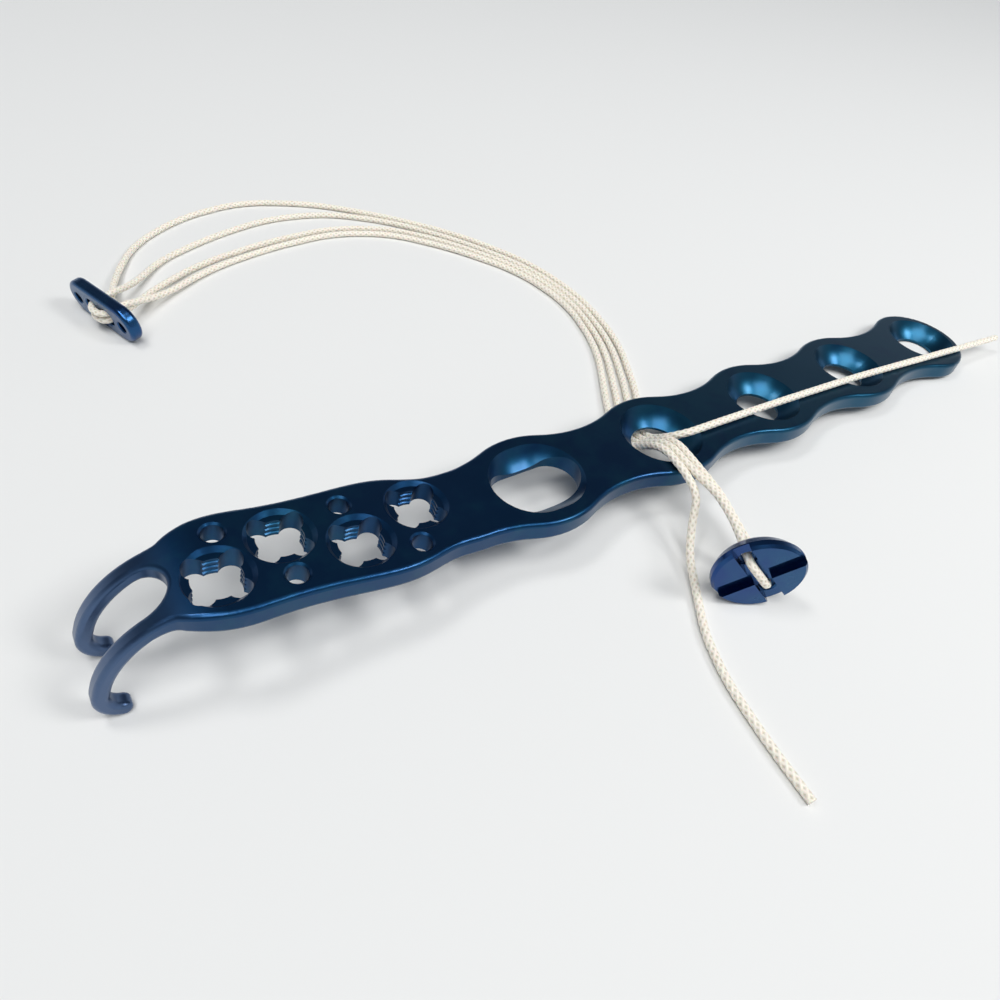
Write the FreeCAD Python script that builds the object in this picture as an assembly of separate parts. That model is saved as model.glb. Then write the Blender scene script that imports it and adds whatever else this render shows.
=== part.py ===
import FreeCAD, Part
import math
import os

# A hooked bone plate with a suture button threaded through its fourth hole from the far end.
# Millimetres. X runs along the shaft toward its rounded end, Y to the side, and Z up from the
# table on which the plate rests with its hooks, the underside of its tip and both buttons.
# Everything is drawn from under the middle of the oval hole. The plate is drawn flat first, with
# its top face at height 0, and is then tipped onto its hooks. At the end the whole is moved, so
# that the origin is under the middle of the box round the three metal pieces.

# The shaft
PLATE_T = 1.65           # thickness of the plate
HOLE_PITCH = 12.5        # from hole to hole along the shaft
SHAFT_HOLES = 4          # round holes beyond the oval one
BULGE_HALF_W = 4.5       # half width beside a hole
WAIST_HALF_W = 3.3       # half width between two holes
BULGE_SHARE = 0.42       # share of the two outline radii that the bulge takes
BORE_R = 1.9             # screw bore
SUTURE_BORE_R = 2.15     # bore of the hole that the suture runs through
SEAT_R = 3.35            # rim of the round seat for a screw head
SUTURE_SEAT_R = 3.45     # the wider rim of the hole that the suture runs through
SEAT_BALL_R = 3.9        # radius of the ball-shaped seat
OVAL_BORE_R = 2.05       # the oval bore
OVAL_HALF_RUN = 1.65     # how far it runs each way
OVAL_SEAT_RUN = 0.45     # how far its seat runs each way
END_IN = 0.5             # how much nearer the last bulge's middle is than its hole

# The head, which is bent up and turned a little in its own plane
BEND_X = -6.6            # middle of the bend
BEND_R = 45.0            # radius of the bend on the top face
HEAD_RISE = 5.2          # degrees up from the shaft
HEAD_TURN = 3.3          # degrees sideways from the shaft
HEAD_WAIST = 3.1         # half width where head and shaft meet
HEAD_HALF_W = 3.95       # half width beside the first lobed hole
HEAD_END_HALF_W = 3.7    # half width beside the last one
HEAD_WIDE_AT = -11.0     # stations along the head
HEAD_END_AT = -24.2

# The lobed locking holes and the wire holes in the head
LOBED_AT = (-23.3, -19.0, -14.35, -9.6)
LOBED_OFFSET = 0.95      # to either side of the middle, in turn
LOBED_RIM_R = 2.28
LOBED_RIM_DEPTH = 0.3
LOBE_REACH_R = 2.24      # the lobes reach this far from the hole's middle
LOBE_R = 0.75
CORE_R = 1.52            # the four threaded columns stand this far from the middle
THREAD_DEPTH = 0.16
THREAD_PITCH = 0.4
WIRE_HOLES = ((-22.75, 2.36), (-18.95, -2.25), (-14.65, 2.36), (-10.65, -2.3))
WIRE_R = 0.71
WIRE_CHAMFER = 0.14

# The two hooks, drawn on their middle line
HOOK_T = 1.0             # thickness
HOOK_INNER = 1.6         # from the head's middle line to a hook's inner side
HOOK_OUTER = 2.75        # and to its outer side
WINDOW_ROOT = -25.85     # where the gap between the hooks begins
HOOK_START = -23.55      # where they start to bend down
HOOK_R1 = 6.7            # the long bend, and the angle that it turns through
HOOK_A1 = 80.0
HOOK_RUN = 0.42          # the straight run after it
HOOK_R2 = 1.6            # the tight curl at the end
HOOK_A2 = 84.0
BELLY_START = -22.2      # where the underside leaves the flat
BELLY_ANGLE = 38.0       # and how far down the long bend it meets the hook
EDGE_R = 0.32            # rounding of the plate's edges

# The suture, and how its corners are rounded
SUTURE_D = 0.65
CORNER_SHARE = 0.45      # share of the shorter run that a corner's arc uses

# The round button, which stands on its rim in front of the plate
ROUND_R = 3.38
ROUND_BACK_R = 2.95      # its back is smaller
ROUND_T = 1.4
ROUND_WALL = 0.6         # height of the upright part of its rim
ROUND_AT = (9.69, -14.12)    # the middle of its front
ROUND_FACING = -121.0    # degrees from X that its front looks
ROUND_LEAN = -1.5        # degrees that its front looks down
GROOVE_W = 1.3
GROOVE_DEPTH = 0.5
GROOVE_TURN = 130.0      # degrees from level to the groove that carries the suture
ROUND_HOLE_R = 0.62
ROUND_HOLE_OUT = 1.85
ROUND_EDGE = 0.2

# The oblong button, which stands on its long edge behind the head
OBLONG_L = 9.4
OBLONG_W = 3.6
OBLONG_T = 1.2
OBLONG_AT = (-22.72, 37.52)  # the middle of its front
OBLONG_FACING = 200.6
OBLONG_LEAN = 7.0
OBLONG_INNER_AT = 1.15   # its inner holes take two strands each
OBLONG_INNER_R = 0.85
OBLONG_END_AT = 3.3
OBLONG_END_R = 0.55
OBLONG_EDGE = 0.38
MOUTH = 0.1              # chamfer of the buttons' holes

V = FreeCAD.Vector


def turned(angle):
    """Cosine and sine of an angle in degrees."""
    return math.cos(math.radians(angle)), math.sin(math.radians(angle))


def head_plan(u, v):
    """A point of the head's plan, u along the head and v across it, as drawn from above."""
    c, s = turned(-HEAD_TURN)
    return V(BEND_X + (u - BEND_X) * c - v * s, (u - BEND_X) * s + v * c, 0)


def on_circle(middle, radius, angle):
    c, s = turned(angle)
    return V(middle.x + radius * c, middle.y + radius * s, 0)


def arc(a, b, c):
    return Part.Arc(a, b, c).toShape()


def smooth(points, first, last):
    """A smooth curve through a few points, with the directions that it starts and ends in."""
    curve = Part.BSplineCurve()
    curve.interpolate(Points=points, InitialTangent=first, FinalTangent=last)
    return curve.toShape()


def scallops(side):
    """One long side of the shaft, from the head's waist to the last hole: bulges and waists in turn."""
    step = HOLE_PITCH / 2
    rise = BULGE_HALF_W - WAIST_HALF_W
    radii = (step ** 2 + rise ** 2) / (2 * rise)
    waist_r = radii * (1 - BULGE_SHARE)

    def bulge(k):
        """The middle and the radius of the bulge at hole k."""
        run = step - END_IN if k == SHAFT_HOLES else step
        radius = (run ** 2 + rise ** 2) / (2 * rise) - waist_r
        return V(k * HOLE_PITCH - step + run, side * (BULGE_HALF_W - radius), 0), radius

    def waist(k):
        """The middle of the waist before hole k."""
        return V(k * HOLE_PITCH - step, side * (WAIST_HALF_W + waist_r), 0)

    def meet(k, w):
        """Where the bulge at hole k turns into the waist before hole w."""
        middle, radius = bulge(k)
        return middle + (waist(w) - middle).normalize() * radius

    first = V(-step, side * WAIST_HALF_W, 0)
    edges = [arc(first, between(waist(0), waist_r, first, meet(0, 0)), meet(0, 0))]
    for k in range(SHAFT_HOLES):
        middle, radius = bulge(k)
        top = V(middle.x, side * BULGE_HALF_W, 0)
        low = V(waist(k + 1).x, side * WAIST_HALF_W, 0)
        edges.append(arc(meet(k, k), top, meet(k, k + 1)))
        edges.append(arc(meet(k, k + 1), low, meet(k + 1, k + 1)))
    middle, radius = bulge(SHAFT_HOLES)
    start = meet(SHAFT_HOLES, SHAFT_HOLES)
    top = V(middle.x, side * BULGE_HALF_W, 0)
    edges.append(arc(start, between(middle, radius, start, top), top))
    return edges


def between(centre, radius, a, b):
    """The point of a circle halfway between two of its points."""
    way = ((a - centre).normalize() + (b - centre).normalize()).normalize()
    return centre + way * radius


def head_side(side):
    """One long side of the head, from the waist to the outer side of a hook's root."""
    waist = V(-HOLE_PITCH / 2, side * WAIST_HALF_W, 0)
    stations = [
        (-8.3, HEAD_WAIST + 0.22),
        (HEAD_WIDE_AT, HEAD_HALF_W),
        (-15.5, HEAD_HALF_W + 0.03),
        (-20.0, HEAD_HALF_W - 0.07),
        (HEAD_END_AT, HEAD_END_HALF_W),
        (-25.7, 3.02),
        (-27.3, HOOK_OUTER),
    ]
    c, s = turned(-HEAD_TURN)
    return smooth([waist] + [head_plan(u, side * v) for u, v in stations], V(-1, 0, 0), V(-c, -s, 0))


def plan():
    """The plate's outline seen from above: scalloped shaft, head, and two hooks with a gap between."""
    far = -36.0
    last = SHAFT_HOLES * HOLE_PITCH - END_IN
    tip = V(last + BULGE_HALF_W, 0, 0)
    edges = scallops(1) + scallops(-1)
    edges.append(arc(V(last, BULGE_HALF_W, 0), tip, V(last, -BULGE_HALF_W, 0)))
    root = WINDOW_ROOT - HOOK_INNER
    for side in (1, -1):
        edges.append(head_side(side))
        out = [head_plan(u, side * v) for u, v in (
            (-27.3, HOOK_OUTER), (far, HOOK_OUTER), (far, HOOK_INNER), (root, HOOK_INNER))]
        edges += [Part.makeLine(a, b) for a, b in zip(out, out[1:])]
    inner = [head_plan(root, HOOK_INNER), head_plan(WINDOW_ROOT, 0), head_plan(root, -HOOK_INNER)]
    edges.append(arc(*inner))
    wire = Part.Wire(Part.__sortEdges__(edges))
    return Part.Face(wire)


def head_side_view(u, w):
    """A point of the side view, u along the head and w above its top face."""
    c, s = turned(HEAD_RISE)
    return V(BEND_X - (BEND_X - u) * c + w * s, 0, (BEND_X - u) * s + w * c)


def bend(w):
    """The bend between shaft and head as three points of a circle, on the face at height w."""
    half = HEAD_RISE / 2
    run = BEND_R * math.tan(math.radians(half))
    c, s = turned(-90 - half)
    middle = V(BEND_X + run, 0, BEND_R)
    radius = BEND_R - w
    return V(middle.x, 0, w), middle + V(c, 0, s) * radius, head_side_view(BEND_X - run, w)


def curl(out):
    """The hook's two bends, each as three points, at the distance out from its middle line. The
    third arc is the part of the first bend that the belly leaves free."""
    m1 = (HOOK_START, -HOOK_T / 2 - HOOK_R1)
    c, s = turned(HOOK_A1)
    apart = HOOK_R1 - HOOK_R2
    m2 = (m1[0] - apart * s - HOOK_RUN * c, m1[1] + apart * c - HOOK_RUN * s)

    def at(middle, radius, angle):
        c, s = turned(angle)
        return head_side_view(middle[0] - (radius + out) * s, middle[1] + (radius + out) * c)

    first = [at(m1, HOOK_R1, HOOK_A1 * k / 2) for k in (0, 1, 2)]
    second = [at(m2, HOOK_R2, HOOK_A1 + HOOK_A2 * k / 2) for k in (0, 1, 2)]
    belly = [at(m1, HOOK_R1, a) for a in (BELLY_ANGLE, (BELLY_ANGLE + HOOK_A1) / 2, HOOK_A1)]
    return first, second, belly


def hook_end():
    """The middle of the round tip of the hooks, in the side view."""
    return curl(0)[1][2]


def side_view():
    """The plate seen from the side: a flat shaft, the bend, the head and the J of the hooks."""
    end = SHAFT_HOLES * HOLE_PITCH + BULGE_HALF_W + 1
    top = bend(0)
    low = bend(-PLATE_T)
    outer1, outer2, _ = curl(HOOK_T / 2)
    _, inner2, belly = curl(-HOOK_T / 2)
    c, s = turned(HOOK_A1 + HOOK_A2 - HEAD_RISE)
    tip = hook_end() + V(-c, 0, -s) * (HOOK_T / 2)
    root = head_side_view(BELLY_START, -PLATE_T)
    along = head_side_view(-1, 0) - head_side_view(0, 0)
    c, s = turned(BELLY_ANGLE - HEAD_RISE)
    down = V(-c, 0, -s)
    edges = [
        Part.makeLine(V(end, 0, -PLATE_T), V(end, 0, 0)),
        Part.makeLine(V(end, 0, 0), top[0]),
        arc(*top),
        Part.makeLine(top[2], outer1[0]),
        arc(*outer1),
        Part.makeLine(outer1[2], outer2[0]),
        arc(*outer2),
        arc(outer2[2], tip, inner2[2]),
        arc(*inner2[::-1]),
        Part.makeLine(inner2[0], belly[2]),
        arc(*belly[::-1]),
        smooth([root, belly[0]], along * 3, down * 3),
        Part.makeLine(root, low[2]),
        arc(*low[::-1]),
        Part.makeLine(low[0], V(end, 0, -PLATE_T)),
    ]
    return Part.Face(Part.Wire(edges))


def sharp_edges(solid, least=25):
    """The edges whose two faces meet at more than a slight angle."""
    found = []
    for edge in solid.Edges:
        faces = solid.ancestorsOfType(edge, Part.Face)
        if len(faces) != 2:
            continue
        point = edge.valueAt((edge.FirstParameter + edge.LastParameter) / 2)
        normals = [f.normalAt(*f.Surface.parameter(point)) for f in faces]
        if math.degrees(normals[0].getAngle(normals[1])) > least:
            found.append(edge)
    return found


def blank():
    """The plate before its holes: what its plan and its side view have in common, with round edges."""
    seen = side_view()
    seen.translate(V(0, -12, 0))
    outline = plan()
    outline.translate(V(0, 0, -16))
    body = outline.extrude(V(0, 0, 32)).common(seen.extrude(V(0, 24, 0))).removeSplitter()
    return body.makeFillet(EDGE_R, sharp_edges(body))


def turned_profile(points):
    """A body turned about Z from the half outline given as (radius, height) points."""
    loop = [V(r, 0, z) for r, z in points]
    face = Part.Face(Part.makePolygon(loop + loop[:1]))
    return face.revolve(V(0, 0, 0), V(0, 0, 1), 360)


def seat(rim, run=0.0):
    """The ball-shaped seat under a screw head, as a cutter; run makes it oblong."""
    height = math.sqrt(SEAT_BALL_R ** 2 - rim ** 2)
    ball = Part.makeSphere(SEAT_BALL_R, V(-run, 0, height))
    if run:
        other = Part.makeSphere(SEAT_BALL_R, V(run, 0, height))
        tube = Part.makeCylinder(SEAT_BALL_R, 2 * run, V(-run, 0, height), V(1, 0, 0))
        ball = ball.fuse([tube, other])
    return ball


def stadium(radius, run, z0, z1):
    """An upright post with an oblong section, its round ends run to either side of the middle."""
    ends = [Part.makeCylinder(radius, z1 - z0, V(x, 0, z0)) for x in (-run, run)]
    middle = Part.makeBox(2 * run, 2 * radius, z1 - z0, V(-run, -radius, z0))
    return ends[0].fuse([middle, ends[1]]).removeSplitter()


def lobed_hole():
    """A locking hole as a cutter: a chamfered rim, four lobes, and threaded columns between them."""
    deep = PLATE_T + 1
    core = Part.makeCylinder(CORE_R, deep + 1, V(0, 0, -deep))
    lobes = []
    for k in range(4):
        c, s = turned(45 + 90 * k)
        out = LOBE_REACH_R - LOBE_R
        lobes.append(Part.makeCylinder(LOBE_R, deep + 1, V(out * c, out * s, -deep)))
    inner = LOBED_RIM_R - LOBED_RIM_DEPTH
    rim = turned_profile([(0, -LOBED_RIM_DEPTH), (inner, -LOBED_RIM_DEPTH), (LOBED_RIM_R + 0.5, 0.5), (0, 0.5)])
    turns = []
    z = -LOBED_RIM_DEPTH - THREAD_PITCH * 0.6
    while z > -PLATE_T + THREAD_PITCH * 0.4:
        half = THREAD_PITCH * 0.42
        turns.append(turned_profile([
            (CORE_R - 0.1, z - half), (CORE_R + THREAD_DEPTH, z), (CORE_R - 0.1, z + half)]))
        z -= THREAD_PITCH
    return core.fuse(lobes + [rim] + turns)


def drilled(radius, depth, chamfer):
    """A round hole down from height 0, with both mouths chamfered, as a cutter."""
    wide = radius + chamfer + 0.5
    return turned_profile([
        (0, 0.5), (wide, 0.5), (radius, -chamfer), (radius, chamfer - depth), (wide, -depth - 0.5), (0, -depth - 0.5)])


def on_head(cutter, u, v):
    """The cutter moved to a place on the head, square to its top face."""
    place = head_plan(u, v)
    cutter.rotate(V(0, 0, 0), V(0, 0, 1), -HEAD_TURN)
    cutter.rotate(V(0, 0, 0), V(0, 1, 0), HEAD_RISE)
    cutter.translate(head_side_view(place.x, 0) + V(0, place.y, 0))
    return cutter


def hook_plate():
    """The plate with all its holes, still flat."""
    cutters = [stadium(OVAL_BORE_R, OVAL_HALF_RUN, -PLATE_T - 1, 1).fuse(seat(SEAT_R, OVAL_SEAT_RUN))]
    for k in range(1, SHAFT_HOLES + 1):
        rim = SUTURE_SEAT_R if k == 1 else SEAT_R
        bore = SUTURE_BORE_R if k == 1 else BORE_R
        cutter = Part.makeCylinder(bore, PLATE_T + 2, V(0, 0, -PLATE_T - 1)).fuse(seat(rim))
        cutter.translate(V(k * HOLE_PITCH, 0, 0))
        cutters.append(cutter)
    for k, u in enumerate(LOBED_AT):
        side = -1 if k % 2 == 0 else 1
        cutters.append(on_head(lobed_hole(), u, side * LOBED_OFFSET))
    for u, v in WIRE_HOLES:
        cutters.append(on_head(drilled(WIRE_R, PLATE_T, WIRE_CHAMFER), u, v))
    return blank().cut(cutters)


def settle():
    """How far the flat plate is tipped, in degrees, to rest on its hooks' tips and its far end."""
    end = SHAFT_HOLES * HOLE_PITCH - END_IN + BULGE_HALF_W - EDGE_R
    hook = hook_end()
    dx, dz = end - hook.x, hook.z + PLATE_T
    return math.degrees(math.asin(HOOK_T / 2 / math.hypot(dx, dz)) + math.atan2(-dz, dx))


def round_button():
    """The round button, front up and lying flat: a disc with two crossed grooves and two holes."""
    disc = turned_profile([
        (0, 0), (ROUND_R - ROUND_EDGE, 0), (ROUND_R, -ROUND_EDGE), (ROUND_R, -ROUND_WALL),
        (ROUND_BACK_R, ROUND_EDGE - ROUND_T), (ROUND_BACK_R - ROUND_EDGE, -ROUND_T), (0, -ROUND_T)])
    wide = 2 * ROUND_R + 2
    along = Part.makeBox(wide, GROOVE_W, GROOVE_DEPTH + 1, V(-wide / 2, -GROOVE_W / 2, -GROOVE_DEPTH))
    across = Part.makeBox(GROOVE_W, wide, GROOVE_DEPTH + 1, V(-GROOVE_W / 2, -wide / 2, -GROOVE_DEPTH))
    holes = []
    for x in (-ROUND_HOLE_OUT, ROUND_HOLE_OUT):
        hole = drilled(ROUND_HOLE_R, ROUND_T - GROOVE_DEPTH, MOUTH)
        hole.translate(V(x, 0, -GROOVE_DEPTH))
        holes.append(hole.common(Part.makeBox(wide, GROOVE_W, wide, V(-wide / 2, -GROOVE_W / 2, -wide / 2))))
    return disc.cut([along, across] + holes)


def oblong_button():
    """The oblong button, front up and lying flat: a slim plate with four holes in a row."""
    slab = stadium(OBLONG_W / 2, OBLONG_L / 2 - OBLONG_W / 2, -OBLONG_T, 0)
    slab = slab.makeFillet(OBLONG_EDGE, sharp_edges(slab, 60))
    holes = []
    for x, r in ((OBLONG_INNER_AT, OBLONG_INNER_R), (OBLONG_END_AT, OBLONG_END_R)):
        for way in (-1, 1):
            hole = drilled(r, OBLONG_T, MOUTH)
            hole.translate(V(way * x, 0, 0))
            holes.append(hole)
    return slab.cut(holes)


def standing(facing, lean, turn, at, reach):
    """The frame of a button that stands on its edge: its middle, and its own X, Y and Z directions.

    facing is where its front looks, lean how far the front looks down, turn how its own X is
    turned from level, and reach how far its edge is below its middle."""
    c, s = turned(facing)
    cl, sl = turned(lean)
    front = V(c * cl, s * cl, -sl)
    level = V(-s, c, 0)
    up = front.cross(level)
    ct, st = turned(turn)
    x = level * ct + up * st
    y = front.cross(x)
    return V(at[0], at[1], reach), x, y, front


def placed(shape, frame):
    """The shape moved from the origin into a frame."""
    middle, x, y, z = frame
    matrix = FreeCAD.Matrix(
        x.x, y.x, z.x, middle.x, x.y, y.y, z.y, middle.y, x.z, y.z, z.z, middle.z, 0, 0, 0, 1)
    out = shape.copy()
    out.Placement = FreeCAD.Placement(matrix).multiply(out.Placement)
    return out


def beside(frame, x, y, z):
    """A point given in a button's own frame."""
    middle, ax, ay, az = frame
    return middle + ax * x + ay * y + az * z


def suture_route(round_frame, oblong_frame):
    """The suture's corner points, from the end that lies on the plate to the end in front.

    Two strands run through each inner hole of the oblong button, four through the plate, and
    one through each hole of the round button. The strands are counted from the outer one in."""
    lie = SUTURE_D / 2 + 0.015
    over = SUTURE_D / 2 + 0.03
    behind = 0.55
    spread = 0.39

    def loop(level):
        """Over the oblong button's front, from its far inner hole to its near one."""
        out, back = OBLONG_INNER_AT, -OBLONG_T - behind
        return [
            beside(oblong_frame, out, level, back),
            beside(oblong_frame, out, level, over),
            beside(oblong_frame, -out, level, over),
            beside(oblong_frame, -out, level, back),
        ]

    on_plate = [
        V(58.4, -3.5, 1.7),
        V(50.4, -3.0, 2.24),
        V(42.4, -2.4, 2.72),
        V(35.0, -1.9, 3.17),
        V(28.6, -1.65, 3.55),
        V(22.8, -1.45, 3.9),
        V(17.4, -1.35, 4.28),
        V(13.15, -1.3, 4.55),
        V(13.1, 1.9, 1.4),
        V(15.4, 4.9, 0.55),
    ]
    first = [
        V(17.8, 8.6, lie),
        V(20.9, 15.0, lie),
        V(22.05, 22.5, lie),
        V(20.8, 30.6, lie),
        V(16.5, 39.0, lie),
        V(10.4, 46.1, lie),
        V(3.8, 52.0, lie),
        V(-3.8, 55.4, lie),
        V(-11.2, 54.2, lie),
        V(-17.0, 50.4, lie),
        V(-20.0, 44.6, 0.7),
    ]
    second = [
        V(-18.6, 42.4, 0.9),
        V(-15.4, 46.4, lie),
        V(-9.4, 49.0, lie),
        V(-2.4, 50.6, lie),
        V(4.4, 49.3, lie),
        V(10.6, 44.6, lie),
        V(15.6, 38.2, lie),
        V(20.0, 30.2, lie),
        V(21.35, 22.5, lie),
        V(20.0, 15.0, lie),
        V(16.7, 8.6, lie),
    ]
    third = [
        V(-17.3, 40.9, 0.7),
        V(-11.8, 44.3, lie),
        V(-4.0, 45.9, lie),
        V(3.6, 46.0, lie),
        V(9.8, 43.3, lie),
        V(14.8, 37.6, lie),
        V(19.3, 30.0, lie),
        V(20.65, 22.5, lie),
        V(19.1, 15.0, lie),
        V(15.5, 8.6, lie),
    ]
    fourth = [
        V(14.3, 8.6, lie),
        V(18.2, 15.0, lie),
        V(19.95, 22.5, lie),
        V(18.6, 29.8, lie),
        V(14.1, 37.0, lie),
        V(9.0, 42.5, lie),
        V(3.2, 44.9, lie),
        V(-4.2, 44.6, lie),
        V(-11.2, 43.0, lie),
        V(-16.8, 39.6, 0.7),
    ]
    to_round = [
        V(13.2, 4.9, 0.55),
        V(11.7, 1.9, 1.4),
        V(11.7, -1.6, 4.7),
        V(11.4, -4.6, 4.66),
        V(11.25, -7.6, 4.85),
        V(10.65, -9.8, 4.8),
        beside(round_frame, ROUND_HOLE_OUT, 0, -ROUND_T - behind),
    ]
    over_bar = [
        beside(round_frame, ROUND_HOLE_OUT, 0, over - GROOVE_DEPTH),
        beside(round_frame, -ROUND_HOLE_OUT, 0, over - GROOVE_DEPTH),
    ]
    from_round = [
        beside(round_frame, -ROUND_HOLE_OUT, 0, -ROUND_T - behind),
        V(11.88, -11.38, 2.6),
        V(11.4, -9.8, 3.9),
        V(11.8, -7.6, 4.45),
        V(12.08, -4.6, 4.64),
        V(12.4, -1.5, 4.7),
        V(12.4, 1.9, 1.4),
        V(14.3, 4.9, 0.55),
    ]
    in_front = [
        V(12.1, 4.9, 0.55),
        V(11.0, 1.9, 1.4),
        V(11.0, -1.6, 4.7),
        V(10.72, -4.6, 4.68),
        V(10.6, -6.5, 3.9),
        V(9.6, -7.6, 2.25),
        V(8.35, -9.2, 0.85),
        V(6.7, -12.1, lie),
        V(5.1, -14.6, lie),
        V(3.9, -17.9, lie),
        V(3.2, -22.2, lie),
        V(2.85, -26.4, lie),
    ]
    return (on_plate + first + loop(spread) + third + to_round + over_bar + from_round
            + second[::-1] + loop(-spread) + fourth[::-1] + in_front)


def tube(points, diameter):
    """A round cord along straight runs whose corners are arcs. It gives the cord, the length of
    its middle line and the radius of each corner."""
    radii, cuts = [], [0]
    for a, b, c in zip(points, points[1:], points[2:]):
        turn = (b - a).getAngle(c - b)
        cut = CORNER_SHARE * min((b - a).Length, (c - b).Length)
        radii.append(cut / math.tan(turn / 2))
        cuts.append(cut)
    edges = []
    end = points[0]
    for i in range(1, len(points) - 1):
        a, b, c = points[i - 1], points[i], points[i + 1]
        into = b + (a - b).normalize() * cuts[i]
        out = b + (c - b).normalize() * cuts[i]
        way = ((a - b).normalize() + (c - b).normalize()).normalize()
        half = (b - a).getAngle(c - b) / 2
        inner = b + way * (radii[i - 1] / math.cos(half) - radii[i - 1])
        edges.append(Part.LineSegment(end, into).toShape())
        edges.append(Part.Arc(into, inner, out).toShape())
        end = out
    edges.append(Part.LineSegment(end, points[-1]).toShape())
    wire = Part.Wire(edges)
    ring = Part.Wire(Part.makeCircle(diameter / 2, points[0], points[1] - points[0]))
    cord = wire.makePipeShell([ring], True, True)
    return cord, wire.Length, radii


def main():
    os.makedirs("parts", exist_ok=True)
    plate = hook_plate()
    tilt = settle()
    plate.rotate(V(0, 0, 0), V(0, 1, 0), tilt)
    lift = -plate.optimalBoundingBox().ZMin
    plate.translate(V(0, 0, lift))
    print("the plate is tipped by", round(tilt, 3), "degrees and lifted by", round(lift, 3))

    round_frame = standing(ROUND_FACING, ROUND_LEAN, GROOVE_TURN, ROUND_AT, ROUND_R)
    oblong_frame = standing(OBLONG_FACING, OBLONG_LEAN, 180.0, OBLONG_AT, OBLONG_W / 2)
    buttons = []
    for shape, frame in ((round_button(), round_frame), (oblong_button(), oblong_frame)):
        button = placed(shape, frame)
        drop = button.optimalBoundingBox().ZMin
        frame[0].z -= drop
        buttons.append(placed(shape, frame))

    route = suture_route(round_frame, oblong_frame)
    suture, length, radii = tube(route, SUTURE_D)
    area = math.pi * SUTURE_D ** 2 / 4
    print("suture length", round(length, 1), "volume by section", round(area * length, 2), "solid", round(suture.Volume, 2))
    print("corner radii", [round(r, 2) for r in radii])

    made = {
        "hook_plate": plate,
        "round_button": buttons[0],
        "oblong_button": buttons[1],
        "suture": suture,
    }
    box = FreeCAD.BoundBox()
    for metal in (plate, *buttons):
        box.add(metal.optimalBoundingBox())
    origin = V(box.Center.x, box.Center.y, 0)
    print("the origin is at", round(origin.x, 4), round(origin.y, 4), "of the drawing")
    for name, shape in made.items():
        shape.translate(-origin)
        shape = shape.Solids[0] if len(shape.Solids) == 1 else shape
        print(name, shape.ShapeType, "valid", shape.isValid(), "volume", round(shape.Volume, 3))
        shape.exportStep("parts/" + name + ".step")


main()
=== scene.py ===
import math
import bpy
import numpy as np
from mathutils import Matrix, Vector


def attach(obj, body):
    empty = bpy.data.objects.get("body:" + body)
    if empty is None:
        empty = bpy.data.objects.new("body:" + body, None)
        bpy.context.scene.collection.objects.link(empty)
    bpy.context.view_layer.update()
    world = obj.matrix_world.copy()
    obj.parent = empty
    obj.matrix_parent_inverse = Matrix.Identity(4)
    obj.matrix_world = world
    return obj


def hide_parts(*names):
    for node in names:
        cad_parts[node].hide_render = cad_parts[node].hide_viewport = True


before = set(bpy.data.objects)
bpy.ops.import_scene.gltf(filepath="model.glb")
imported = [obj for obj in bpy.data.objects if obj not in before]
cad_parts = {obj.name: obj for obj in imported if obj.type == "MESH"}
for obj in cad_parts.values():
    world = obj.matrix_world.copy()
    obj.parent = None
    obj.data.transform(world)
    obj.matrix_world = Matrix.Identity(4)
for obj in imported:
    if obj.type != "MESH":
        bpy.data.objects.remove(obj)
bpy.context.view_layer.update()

MM = 0.001

# Places below are in millimetres, measured from under the middle of the oval hole. The part's
# origin, under the middle of the metal pieces, lies here on that drawing.
ORIGIN = Vector((11.1938, 13.2361, 0))

# The suture
SUTURE_D = 0.65
CORNER_SHARE = 0.45                # of the shorter run beside a corner, which its arc takes
LIE = SUTURE_D / 2 + 0.015         # middle line's height where it lies on the table
OVER = SUTURE_D / 2 + 0.03         # and above a button's bar
BEHIND = 0.55                      # how far behind a button it turns into a hole
SPREAD = 0.39                      # to either side, where two strands share a hole
SUTURE_STEP = 0.13                 # from ring to ring of its surface
SUTURE_AROUND = 18                 # points to a ring
BRAID_PITCH = 0.62                 # from strand to strand along it
BRAID_STRANDS = 4                  # one way round it, drawn coarser than real so that they show
BRAID_RELIEF = 0.04                # how far it sinks between crests

# The two buttons: middle of the front, where it looks, how far it looks down, and its sizes
ROUND = dict(at=(9.69, -14.12), height=3.3945, facing=-121.0, lean=-1.5, turn=130.0,
             thick=1.4, out=1.85, groove=0.5)
OBLONG = dict(at=(-22.72, 37.52), height=1.7431, facing=200.6, lean=7.0, turn=180.0,
              thick=1.2, out=1.15)

# The camera, from the photograph's vanishing lines
CAMERA_AT = Vector((-26.711, -29.058, 46.191))
CAMERA_RIGHT = (0.84093, -0.53127, 0.10295)
CAMERA_UP = (0.30539, 0.62295, 0.72019)
CAMERA_BACK = (-0.44674, -0.57419, 0.6861)
FOCAL = 0.77107                    # focal length as a share of the frame's width
MIDDLE_Y = 0.4293                  # height of the optical axis in the frame, from the top

# The finishes' patterns, in millimetres
OXIDE_DRIFT = 15                   # the oxide's thickness drifts over centimetres
OXIDE_CLOUDS = 2.5                 # and handling leaves clouds in it
BLASTED_GRAIN = 0.1                # drawn larger than real so that it shows
GRAIN_DEPTH = 0.02
GLOSS_SPREAD = 0.06                # roughness, to either side of the mean
SUTURE_FUZZ = 0.8
SUTURE_SCATTER = 0.3               # how far light goes into the strands

TABLE_HALF = 1.5                   # in metres, enough to fill the frame


def srgb(text):
    """A hex colour as linear values."""
    out = []
    for i in (0, 2, 4):
        c = int(text[i:i + 2], 16) / 255
        out.append(c / 12.92 if c <= 0.04045 else ((c + 0.055) / 1.055) ** 2.4)
    return (*out, 1.0)


def per(size):
    """A pattern's scale on Object coordinates, from its size in millimetres."""
    return 1 / (size * MM)


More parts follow.
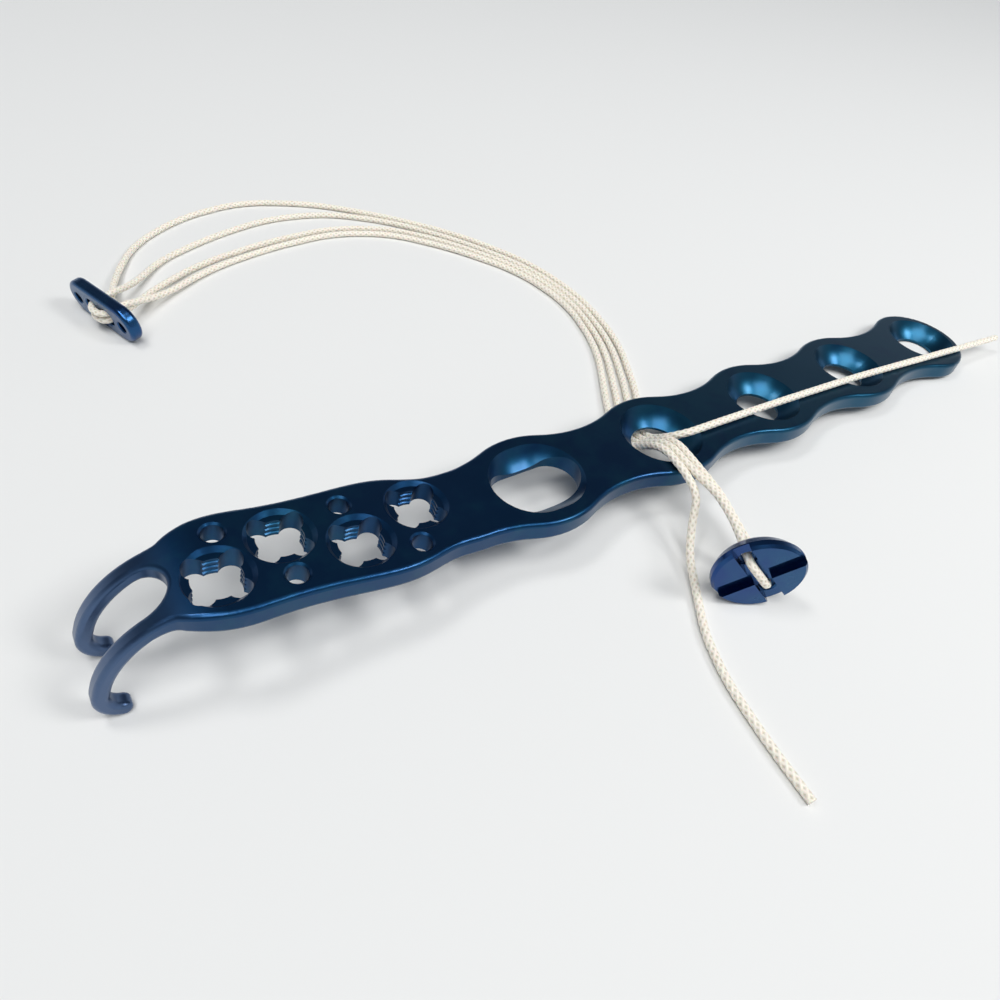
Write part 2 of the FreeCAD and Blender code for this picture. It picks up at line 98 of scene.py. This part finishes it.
def turned(angle):
    """The cosine and the sine of an angle in degrees."""
    return math.cos(math.radians(angle)), math.sin(math.radians(angle))


def placed(name, data):
    """A new object in the scene."""
    thing = bpy.data.objects.new(name, data)
    bpy.context.scene.collection.objects.link(thing)
    return thing


# Materials

def new_material(name):
    """A material with its shader and its node tree."""
    material = bpy.data.materials.new(name)
    material.use_nodes = True
    return material, material.node_tree, material.node_tree.nodes["Principled BSDF"]


def node(tree, kind, **settings):
    """Adds a shader node. Each setting is a property of the node, or an input by name, or by i and
    its number. An input given a socket is linked to it."""
    added = tree.nodes.new("ShaderNode" + kind)
    inputs = {}
    for key, value in settings.items():
        if hasattr(added, key):
            setattr(added, key, value)
        else:
            inputs[int(key[1:]) if key[1:].isdigit() else key] = value
    for key, value in inputs.items():
        if isinstance(value, bpy.types.NodeSocket):
            tree.links.new(value, added.inputs[key])
        else:
            added.inputs[key].default_value = value
    return added


def anodised_titanium(name, blue, teal, roughness, teal_per_mm=0.0,
                      slate=None, slate_from=0.0, slate_to=0.0):
    """Anodised titanium, blasted and then coloured by its oxide. The eye sees satin metal that
    mirrors its surroundings in deep blue, clouded with teal. On the plate it drifts toward teal
    along the shaft, where the oxide is thicker, and turns slate on the prongs, from one place
    along the part to another."""
    material, tree, shader = new_material(name)
    where = node(tree, "TexCoord").outputs["Object"]
    along = node(tree, "SeparateXYZ", i0=where).outputs[0]
    drift = node(tree, "TexNoise", Vector=where, Scale=per(OXIDE_DRIFT), Detail=2.0,
                 Roughness=0.5).outputs[0]
    clouds = node(tree, "TexNoise", Vector=where, Scale=per(OXIDE_CLOUDS), Detail=4.0,
                  Roughness=0.6).outputs[0]
    both = node(tree, "Math", operation="ADD", i0=drift, i1=clouds).outputs[0]
    thicker = node(tree, "Math", operation="MULTIPLY_ADD", i0=along, i1=teal_per_mm / MM,
                   i2=both).outputs[0]
    share = node(tree, "MapRange", i0=thicker, i1=0.8, i2=1.2).outputs[0]
    colour = node(tree, "Mix", data_type="RGBA", i0=share, i6=srgb(blue), i7=srgb(teal)).outputs[2]
    if slate:
        prong = node(tree, "MapRange", i0=along, i1=slate_from * MM, i2=slate_to * MM).outputs[0]
        colour = node(tree, "Mix", data_type="RGBA", i0=prong, i6=colour, i7=srgb(slate)).outputs[2]
    tree.links.new(colour, shader.inputs["Base Color"])
    shader.inputs["Metallic"].default_value = 1.0
    gloss = node(tree, "MapRange", i0=clouds, i3=roughness - GLOSS_SPREAD,
                 i4=roughness + GLOSS_SPREAD).outputs[0]
    tree.links.new(gloss, shader.inputs["Roughness"])
    # The oxide is clear on top, which whitens the glints
    shader.inputs["Coat Weight"].default_value = 0.2
    shader.inputs["Coat Roughness"].default_value = 0.2
    grain = node(tree, "TexNoise", Vector=where, Scale=per(BLASTED_GRAIN), Detail=2.0).outputs[0]
    bump = node(tree, "Bump", Strength=0.12, Distance=GRAIN_DEPTH * MM, Height=grain).outputs[0]
    tree.links.new(bump, shader.inputs["Normal"])
    return material


def braided_polyethylene(name, shadow, cream):
    """Braided polyethylene, bleached cream. Strands wind round the cord both ways; small dark diamonds
    of painted shade lie where the strands of both ways dip, on a soft matt white."""
    material, tree, shader = new_material(name)
    place = node(tree, "SeparateXYZ", i0=node(tree, "UVMap", uv_map="along").outputs[0])
    run, turn = place.outputs[0], place.outputs[1]
    waves = []
    for way in (1, -1):
        turns = node(tree, "Math", operation="MULTIPLY", i0=turn,
                     i1=way * BRAID_STRANDS * 2 * math.pi).outputs[0]
        phase = node(tree, "Math", operation="MULTIPLY_ADD", i0=run,
                     i1=2 * math.pi / BRAID_PITCH, i2=turns).outputs[0]
        waves.append(node(tree, "Math", operation="SINE", i0=phase).outputs[0])
    crests = node(tree, "Math", operation="MAXIMUM", i0=waves[0], i1=waves[1]).outputs[0]
    # The fuzz of the filaments lightens the painted shade of the diamonds unevenly
    where = node(tree, "TexCoord").outputs["Object"]
    fuzz = node(tree, "TexNoise", Vector=where, Scale=per(SUTURE_FUZZ), Detail=3.0).outputs[0]
    lit = node(tree, "Math", operation="MULTIPLY_ADD", i0=fuzz, i1=1.4, i2=crests).outputs[0]
    share = node(tree, "MapRange", i0=lit, i1=-0.55, i2=1.1).outputs[0]
    # Painted shade: the shadow colour fills the dips between the crests, darkest where both ways dip
    colour = node(tree, "Mix", data_type="RGBA", i0=share, i6=srgb(shadow),
                  i7=srgb(cream)).outputs[2]
    tree.links.new(colour, shader.inputs["Base Color"])
    shader.inputs["Roughness"].default_value = 0.65
    shader.inputs["Sheen Weight"].default_value = 0.25
    shader.inputs["Subsurface Weight"].default_value = 0.1
    shader.inputs["Subsurface Scale"].default_value = SUTURE_SCATTER * MM
    bump = node(tree, "Bump", Strength=0.6, Distance=BRAID_RELIEF * MM, Height=crests).outputs[0]
    tree.links.new(bump, shader.inputs["Normal"])
    return material


def white_laminate(name):
    """White laminate for the table: plain, matt and a little warm."""
    material, _, shader = new_material(name)
    shader.inputs["Base Color"].default_value = srgb("e4e4e2")
    shader.inputs["Roughness"].default_value = 0.85
    return material


# The suture

def standing(button):
    """The frame of a button that stands on its edge: its middle, and its own X, Y and Z directions."""
    c, s = turned(button["facing"])
    cl, sl = turned(button["lean"])
    front = Vector((c * cl, s * cl, -sl))
    level = Vector((-s, c, 0))
    up = front.cross(level)
    ct, st = turned(button["turn"])
    x = level * ct + up * st
    return Vector((*button["at"], button["height"])), x, front.cross(x), front


def suture_route():
    """The suture's corner points, from the end that lies on the plate to the end in front."""
    round_frame = standing(ROUND)
    oblong_frame = standing(OBLONG)

    def beside(where, x, y, z):
        middle, ax, ay, az = where
        return tuple(middle + ax * x + ay * y + az * z)

    def loop(level):
        out, back = OBLONG["out"], -OBLONG["thick"] - BEHIND
        return [beside(oblong_frame, x, level, z)
                for x, z in ((out, back), (out, OVER), (-out, OVER), (-out, back))]

    on_plate = [
        (58.4, -3.5, 1.7), (50.4, -3.0, 2.24), (42.4, -2.4, 2.72), (35.0, -1.9, 3.17),
        (28.6, -1.65, 3.55), (22.8, -1.45, 3.9), (17.4, -1.35, 4.28), (13.15, -1.3, 4.55),
        (13.1, 1.9, 1.4), (15.4, 4.9, 0.55),
    ]
    first = [
        (17.8, 8.6, LIE), (20.9, 15.0, LIE), (22.05, 22.5, LIE), (20.8, 30.6, LIE),
        (16.5, 39.0, LIE), (10.4, 46.1, LIE), (3.8, 52.0, LIE), (-3.8, 55.4, LIE),
        (-11.2, 54.2, LIE), (-17.0, 50.4, LIE), (-20.0, 44.6, 0.7),
    ]
    second = [
        (-18.6, 42.4, 0.9), (-15.4, 46.4, LIE), (-9.4, 49.0, LIE), (-2.4, 50.6, LIE),
        (4.4, 49.3, LIE), (10.6, 44.6, LIE), (15.6, 38.2, LIE), (20.0, 30.2, LIE),
        (21.35, 22.5, LIE), (20.0, 15.0, LIE), (16.7, 8.6, LIE),
    ]
    third = [
        (-17.3, 40.9, 0.7), (-11.8, 44.3, LIE), (-4.0, 45.9, LIE), (3.6, 46.0, LIE),
        (9.8, 43.3, LIE), (14.8, 37.6, LIE), (19.3, 30.0, LIE), (20.65, 22.5, LIE),
        (19.1, 15.0, LIE), (15.5, 8.6, LIE),
    ]
    fourth = [
        (14.3, 8.6, LIE), (18.2, 15.0, LIE), (19.95, 22.5, LIE), (18.6, 29.8, LIE),
        (14.1, 37.0, LIE), (9.0, 42.5, LIE), (3.2, 44.9, LIE), (-4.2, 44.6, LIE),
        (-11.2, 43.0, LIE), (-16.8, 39.6, 0.7),
    ]
    out, back = ROUND["out"], -ROUND["thick"] - BEHIND
    to_round = [
        (13.2, 4.9, 0.55), (11.7, 1.9, 1.4), (11.7, -1.6, 4.7), (11.4, -4.6, 4.66),
        (11.25, -7.6, 4.85), (10.65, -9.8, 4.8), beside(round_frame, out, 0, back),
    ]
    over_bar = [beside(round_frame, x, 0, OVER - ROUND["groove"]) for x in (out, -out)]
    from_round = [
        beside(round_frame, -out, 0, back), (11.88, -11.38, 2.6), (11.4, -9.8, 3.9),
        (11.8, -7.6, 4.45), (12.08, -4.6, 4.64), (12.4, -1.5, 4.7), (12.4, 1.9, 1.4),
        (14.3, 4.9, 0.55),
    ]
    in_front = [
        (12.1, 4.9, 0.55), (11.0, 1.9, 1.4), (11.0, -1.6, 4.7), (10.72, -4.6, 4.68),
        (10.6, -6.5, 3.9), (9.6, -7.6, 2.25), (8.35, -9.2, 0.85), (6.7, -12.1, LIE),
        (5.1, -14.6, LIE), (3.9, -17.9, LIE), (3.2, -22.2, LIE), (2.85, -26.4, LIE),
    ]
    through = (on_plate + first + loop(SPREAD) + third + to_round + over_bar + from_round
               + second[::-1] + loop(-SPREAD) + fourth[::-1] + in_front)
    return [Vector(point) - ORIGIN for point in through]


def middle_line(corners, step):
    """The route with each corner rounded by an arc, as points about step apart."""
    cuts = [0.0]
    for a, b, c in zip(corners, corners[1:], corners[2:]):
        cuts.append(CORNER_SHARE * min((b - a).length, (c - b).length))
    cuts.append(0.0)
    points = [corners[0]]

    def straight(end):
        start = points[-1]
        count = max(1, round((end - start).length / step))
        points.extend(start.lerp(end, k / count) for k in range(1, count + 1))

    for i in range(1, len(corners) - 1):
        a, b, c = corners[i - 1:i + 2]
        d1, d2 = (b - a).normalized(), (c - b).normalized()
        turn = d1.angle(d2)
        radius = cuts[i] / math.tan(turn / 2)
        start = b - d1 * cuts[i]
        straight(start)
        side = (d2 - d1 * d1.dot(d2)).normalized()
        middle = start + side * radius
        count = max(2, round(radius * turn / step))
        for k in range(1, count + 1):
            angle = turn * k / count
            points.append(middle - side * radius * math.cos(angle) + d1 * radius * math.sin(angle))
    straight(corners[-1])
    return np.array(points)


def carried_sides(line):
    """Two directions square to the line at each of its points. Each point takes the last one's side,
    less its share along the line there, so that the pair is carried along without twist."""
    ways = np.gradient(line, axis=0)
    ways /= np.linalg.norm(ways, axis=1)[:, None]
    side = np.cross(ways[0], (0, 0, 1))
    sides = []
    for way in ways:
        side = side - way * side.dot(way)
        side /= np.linalg.norm(side)
        sides.append(side)
    sides = np.array(sides)
    return sides, np.cross(ways, sides)


def suture():
    """The braided cord: at a run s along its middle line and an angle a round it, the surface lies
    at the line's point plus the radius times (cos a, sin a) in the two carried directions. The
    radius sinks a little where strands of both ways dip, which is the larger of two sines of s plus
    and minus a. Both ends are closed by a fan."""
    line = middle_line(suture_route(), SUTURE_STEP)
    count, around = len(line), SUTURE_AROUND
    side, other = carried_sides(line)
    run = np.concatenate([[0], np.cumsum(np.linalg.norm(np.diff(line, axis=0), axis=1))])
    angle = np.arange(around) / around * 2 * np.pi
    along = (run / BRAID_PITCH * 2 * np.pi)[:, None]
    crests = np.maximum(np.sin(along + BRAID_STRANDS * angle),
                        np.sin(along - BRAID_STRANDS * angle))
    radius = SUTURE_D / 2 - BRAID_RELIEF * (1 - crests) / 2
    out = (np.cos(angle)[None, :, None] * side[:, None]
           + np.sin(angle)[None, :, None] * other[:, None])
    shell = line[:, None] + radius[:, :, None] * out
    points = np.concatenate([shell.reshape(-1, 3), line[[0, -1]]]) * MM

    ring, spoke = np.meshgrid(np.arange(count - 1), np.arange(around), indexing="ij")
    here, there = ring * around, (ring + 1) * around
    beyond = (spoke + 1) % around
    quads = np.stack([here + spoke, here + beyond, there + beyond, there + spoke], axis=-1)
    first, last = np.full(around, count * around), np.full(around, count * around + 1)
    last_ring = (count - 1) * around
    start_fan = np.stack([first, beyond[0], spoke[0]], axis=-1)
    end_fan = np.stack([last, last_ring + spoke[0], last_ring + beyond[0]], axis=-1)
    faces = quads.reshape(-1, 4).tolist() + start_fan.tolist() + end_fan.tolist()
    mesh = bpy.data.meshes.new("braided_suture")
    mesh.from_pydata(points.tolist(), [], faces)

    # The run along the cord and the share of a turn round it, for the braid's material
    nearer, farther = run[ring], run[ring + 1]
    low, high = spoke / around, (spoke + 1) / around
    corners = np.stack([nearer, low, nearer, high, farther, high, farther, low], axis=-1)
    fans = np.zeros((2 * around, 3, 2))
    uv = mesh.uv_layers.new(name="along")
    flat = np.concatenate([corners.ravel(), fans.ravel()])
    uv.data.foreach_set("uv", flat.astype(np.float32))
    mesh.polygons.foreach_set("use_smooth", np.ones(len(faces), dtype=bool))
    mesh.materials.append(braided_polyethylene("braided polyethylene", "ccc2ab", "f5eee0"))

    piece = placed("braided_suture", mesh)
    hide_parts("suture")
    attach(piece, "root")


# The metal pieces

def paint(name, material):
    """Gives a CAD piece one material all over."""
    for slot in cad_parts[name].material_slots:
        slot.material = material


def metal():
    """The plate and the two buttons, each as it was machined, in its own blue."""
    paint("hook_plate", anodised_titanium(
        "dark blue anodised titanium", "164068", "1a4f6b", roughness=0.33, teal_per_mm=0.006,
        slate="4d6385", slate_from=-36.0, slate_to=-41.0))
    button_blue = anodised_titanium("mid blue anodised titanium", "1f417a", "24527d",
                                    roughness=0.26)
    paint("round_button", button_blue)
    paint("oblong_button", button_blue)


# The table, the lamps and the camera

def table():
    """A white table top, wide enough to fill the frame."""
    half = TABLE_HALF
    mesh = bpy.data.meshes.new("table")
    mesh.from_pydata([(-half, -half, 0), (half, -half, 0), (half, half, 0), (-half, half, 0)],
                     [], [(0, 1, 2, 3)])
    mesh.materials.append(white_laminate("white laminate"))
    placed("table", mesh)


def lamp(name, way, distance, size, power):
    """A square soft light that stands off from the part in one direction and looks at it. Distance
    and size are in metres, power in watts."""
    data = bpy.data.lights.new(name, "AREA")
    data.size = size
    data.energy = power
    at = Vector(way).normalized() * distance
    facing = (-at).to_track_quat("-Z", "Y").to_matrix().to_4x4()
    placed(name, data).matrix_world = Matrix.Translation(at) @ facing


def studio():
    """One wide soft light overhead, two small ones that draw the glints, and a room whose pale walls
    darken toward the ceiling."""
    lamp("overhead", (-0.15, -0.33, 0.93), distance=1.6, size=1.0, power=16.0)
    lamp("front glint", (0.45, -0.5, 0.74), distance=0.3, size=0.08, power=0.3)
    lamp("rear glint", (-0.28, 0.21, 0.92), distance=0.34, size=0.07, power=0.22)
    world = bpy.data.worlds.new("room")
    world.use_nodes = True
    tree = world.node_tree
    # The height of the way looked at: 0 at the horizon and 1 straight up
    height = node(tree, "SeparateXYZ", i0=node(tree, "TexCoord").outputs["Generated"]).outputs[2]
    share = node(tree, "MapRange", i0=height, i1=0.05, i2=0.5).outputs[0]
    wall = node(tree, "Mix", data_type="RGBA", i0=share, i6=srgb("d9dcdf"),
                i7=srgb("5a6068")).outputs[2]
    tree.links.new(wall, tree.nodes["Background"].inputs[0])
    bpy.context.scene.world = world


def camera():
    """The photograph's camera."""
    data = bpy.data.cameras.new("camera")
    data.sensor_width = 36
    data.lens = data.sensor_width * FOCAL
    data.shift_y = MIDDLE_Y - 0.5
    data.clip_start = 0.001
    data.clip_end = 10
    eye = placed("camera", data)
    turn = Matrix((CAMERA_RIGHT, CAMERA_UP, CAMERA_BACK)).transposed().to_4x4()
    eye.matrix_world = Matrix.Translation((CAMERA_AT - ORIGIN) * MM) @ turn
    bpy.context.scene.camera = eye
    bpy.context.scene.view_settings.view_transform = "Standard"


metal()
suture()
table()
studio()
camera()
